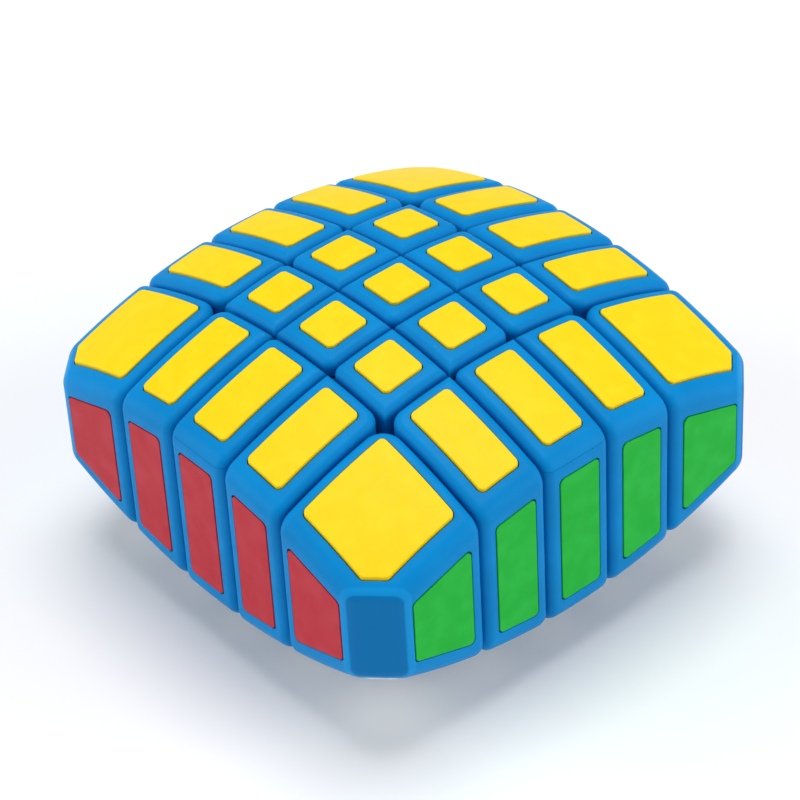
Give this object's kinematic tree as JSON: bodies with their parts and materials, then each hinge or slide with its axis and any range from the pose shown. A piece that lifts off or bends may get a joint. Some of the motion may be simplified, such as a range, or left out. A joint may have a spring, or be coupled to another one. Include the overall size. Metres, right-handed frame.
{
  "type": "twisty puzzle",
  "caption": "Pillow-shaped twisty puzzle, one layer thick, with domed faces, straight side walls, cut corners and coloured tiles; its rows and columns turn about two crossed axes.",
  "frame": {"origin": "centre of the puzzle, where the two turning axes cross, midway between the domes", "axes": "+Z out of the dome with the yellow tiles; +X along the axis that the columns turn about, out of the wall with the green tiles; +Y along the axis that the rows turn about"},
  "size_m": [0.0702, 0.0702, 0.0424],
  "materials": {
    "blue_plastic": "satin moulded nylon, faint tooling lines",
    "yellow_tile": "satin moulded tile; the first of the tile colours",
    "white_tile": "satin moulded tile, on the underside",
    "red_tile": "satin moulded tile, on the -Y wall",
    "green_tile": "satin moulded tile, on the +X wall",
    "orange_tile": "satin moulded tile, on the +Y wall",
    "purple_tile": "satin moulded tile, on the -X wall",
    "steel_hardware": "zinc-plated steel",
    "core_plastic": "black moulded core"
  },
  "bodies": {
    "centre": {"axle_screws": "steel_hardware", "axle_springs": "steel_hardware", "axle_washers": "steel_hardware", "centre_bottom": "blue_plastic", "centre_screw": "steel_hardware", "centre_top": "blue_plastic", "core": "core_plastic", "tiles_c3": "yellow_tile"},
    "piece_a1": {"corner_a1": "blue_plastic", "tiles_a1": "yellow_tile"},
    "piece_a2": {"edge_a2": "blue_plastic", "tiles_a2": "yellow_tile"},
    "piece_a3": {"side_cap_a3": "blue_plastic", "side_middle_a3": "blue_plastic", "tiles_a3": "yellow_tile"},
    "piece_a4": {"edge_a4": "blue_plastic", "tiles_a4": "yellow_tile"},
    "piece_a5": {"corner_a5": "blue_plastic", "tiles_a5": "yellow_tile"},
    "piece_b1": {"edge_b1": "blue_plastic", "tiles_b1": "yellow_tile"},
    "piece_b2": {"inner_corner_b2": "blue_plastic", "tiles_b2": "yellow_tile"},
    "piece_b3": {"inner_edge_b3": "blue_plastic", "tiles_b3": "yellow_tile"},
    "piece_b4": {"inner_corner_b4": "blue_plastic", "tiles_b4": "yellow_tile"},
    "piece_b5": {"edge_b5": "blue_plastic", "tiles_b5": "yellow_tile"},
    "piece_c1": {"side_cap_c1": "blue_plastic", "side_middle_c1": "blue_plastic", "tiles_c1": "yellow_tile"},
    "piece_c2": {"inner_edge_c2": "blue_plastic", "tiles_c2": "yellow_tile"},
    "piece_c4": {"inner_edge_c4": "blue_plastic", "tiles_c4": "yellow_tile"},
    "piece_c5": {"side_cap_c5": "blue_plastic", "side_middle_c5": "blue_plastic", "tiles_c5": "yellow_tile"},
    "piece_d1": {"edge_d1": "blue_plastic", "tiles_d1": "yellow_tile"},
    "piece_d2": {"inner_corner_d2": "blue_plastic", "tiles_d2": "yellow_tile"},
    "piece_d3": {"inner_edge_d3": "blue_plastic", "tiles_d3": "yellow_tile"},
    "piece_d4": {"inner_corner_d4": "blue_plastic", "tiles_d4": "yellow_tile"},
    "piece_d5": {"edge_d5": "blue_plastic", "tiles_d5": "yellow_tile"},
    "piece_e1": {"corner_e1": "blue_plastic", "tiles_e1": "yellow_tile"},
    "piece_e2": {"edge_e2": "blue_plastic", "tiles_e2": "yellow_tile"},
    "piece_e3": {"side_cap_e3": "blue_plastic", "side_middle_e3": "blue_plastic", "tiles_e3": "yellow_tile"},
    "piece_e4": {"edge_e4": "blue_plastic", "tiles_e4": "yellow_tile"},
    "piece_e5": {"corner_e5": "blue_plastic", "tiles_e5": "yellow_tile"}
  },
  "joints": [
    {"name": "column_a_turn", "type": "hinge", "parent": "centre", "child": "piece_a3", "pos_m": [0, 0, 0], "axis": [1, 0, 0], "continuous": true},
    {"name": "column_b_turn", "type": "hinge", "parent": "centre", "child": "piece_b3", "pos_m": [0, 0, 0], "axis": [1, 0, 0], "continuous": true},
    {"name": "column_d_turn", "type": "hinge", "parent": "centre", "child": "piece_d3", "pos_m": [0, 0, 0], "axis": [1, 0, 0], "continuous": true},
    {"name": "column_e_turn", "type": "hinge", "parent": "centre", "child": "piece_e3", "pos_m": [0, 0, 0], "axis": [1, 0, 0], "continuous": true},
    {"name": "row_1_turn", "type": "hinge", "parent": "centre", "child": "piece_c1", "pos_m": [0, 0, 0], "axis": [0, 1, 0], "range_deg": [-180, 180]},
    {"name": "row_2_turn", "type": "hinge", "parent": "centre", "child": "piece_c2", "pos_m": [0, 0, 0], "axis": [0, 1, 0], "range_deg": [-180, 180]},
    {"name": "row_4_turn", "type": "hinge", "parent": "centre", "child": "piece_c4", "pos_m": [0, 0, 0], "axis": [0, 1, 0], "range_deg": [-180, 180]},
    {"name": "row_5_turn", "type": "hinge", "parent": "centre", "child": "piece_c5", "pos_m": [0, 0, 0], "axis": [0, 1, 0], "range_deg": [-180, 180]},
    {"name": "row_1_turn_a", "type": "hinge", "parent": "piece_a3", "child": "piece_a1", "pos_m": [0, 0, 0], "axis": [0, 1, 0], "range_deg": [-180, 180]},
    {"name": "row_1_turn_b", "type": "hinge", "parent": "piece_b3", "child": "piece_b1", "pos_m": [0, 0, 0], "axis": [0, 1, 0], "range_deg": [-180, 180]},
    {"name": "row_1_turn_d", "type": "hinge", "parent": "piece_d3", "child": "piece_d1", "pos_m": [0, 0, 0], "axis": [0, 1, 0], "range_deg": [-180, 180]},
    {"name": "row_1_turn_e", "type": "hinge", "parent": "piece_e3", "child": "piece_e1", "pos_m": [0, 0, 0], "axis": [0, 1, 0], "range_deg": [-180, 180]},
    {"name": "row_2_turn_a", "type": "hinge", "parent": "piece_a3", "child": "piece_a2", "pos_m": [0, 0, 0], "axis": [0, 1, 0], "range_deg": [-180, 180]},
    {"name": "row_2_turn_b", "type": "hinge", "parent": "piece_b3", "child": "piece_b2", "pos_m": [0, 0, 0], "axis": [0, 1, 0], "range_deg": [-180, 180]},
    {"name": "row_2_turn_d", "type": "hinge", "parent": "piece_d3", "child": "piece_d2", "pos_m": [0, 0, 0], "axis": [0, 1, 0], "range_deg": [-180, 180]},
    {"name": "row_2_turn_e", "type": "hinge", "parent": "piece_e3", "child": "piece_e2", "pos_m": [0, 0, 0], "axis": [0, 1, 0], "range_deg": [-180, 180]},
    {"name": "row_4_turn_a", "type": "hinge", "parent": "piece_a3", "child": "piece_a4", "pos_m": [0, 0, 0], "axis": [0, 1, 0], "range_deg": [-180, 180]},
    {"name": "row_4_turn_b", "type": "hinge", "parent": "piece_b3", "child": "piece_b4", "pos_m": [0, 0, 0], "axis": [0, 1, 0], "range_deg": [-180, 180]},
    {"name": "row_4_turn_d", "type": "hinge", "parent": "piece_d3", "child": "piece_d4", "pos_m": [0, 0, 0], "axis": [0, 1, 0], "range_deg": [-180, 180]},
    {"name": "row_4_turn_e", "type": "hinge", "parent": "piece_e3", "child": "piece_e4", "pos_m": [0, 0, 0], "axis": [0, 1, 0], "range_deg": [-180, 180]},
    {"name": "row_5_turn_a", "type": "hinge", "parent": "piece_a3", "child": "piece_a5", "pos_m": [0, 0, 0], "axis": [0, 1, 0], "range_deg": [-180, 180]},
    {"name": "row_5_turn_b", "type": "hinge", "parent": "piece_b3", "child": "piece_b5", "pos_m": [0, 0, 0], "axis": [0, 1, 0], "range_deg": [-180, 180]},
    {"name": "row_5_turn_d", "type": "hinge", "parent": "piece_d3", "child": "piece_d5", "pos_m": [0, 0, 0], "axis": [0, 1, 0], "range_deg": [-180, 180]},
    {"name": "row_5_turn_e", "type": "hinge", "parent": "piece_e3", "child": "piece_e5", "pos_m": [0, 0, 0], "axis": [0, 1, 0], "range_deg": [-180, 180]}
  ],
  "couplings": [
    {"joint": "row_1_turn_a", "follows": "row_1_turn", "ratio": 1},
    {"joint": "row_1_turn_b", "follows": "row_1_turn", "ratio": 1},
    {"joint": "row_1_turn_d", "follows": "row_1_turn", "ratio": 1},
    {"joint": "row_1_turn_e", "follows": "row_1_turn", "ratio": 1},
    {"joint": "row_2_turn_a", "follows": "row_2_turn", "ratio": 1},
    {"joint": "row_2_turn_b", "follows": "row_2_turn", "ratio": 1},
    {"joint": "row_2_turn_d", "follows": "row_2_turn", "ratio": 1},
    {"joint": "row_2_turn_e", "follows": "row_2_turn", "ratio": 1},
    {"joint": "row_4_turn_a", "follows": "row_4_turn", "ratio": 1},
    {"joint": "row_4_turn_b", "follows": "row_4_turn", "ratio": 1},
    {"joint": "row_4_turn_d", "follows": "row_4_turn", "ratio": 1},
    {"joint": "row_4_turn_e", "follows": "row_4_turn", "ratio": 1},
    {"joint": "row_5_turn_a", "follows": "row_5_turn", "ratio": 1},
    {"joint": "row_5_turn_b", "follows": "row_5_turn", "ratio": 1},
    {"joint": "row_5_turn_d", "follows": "row_5_turn", "ratio": 1},
    {"joint": "row_5_turn_e", "follows": "row_5_turn", "ratio": 1}
  ]
}
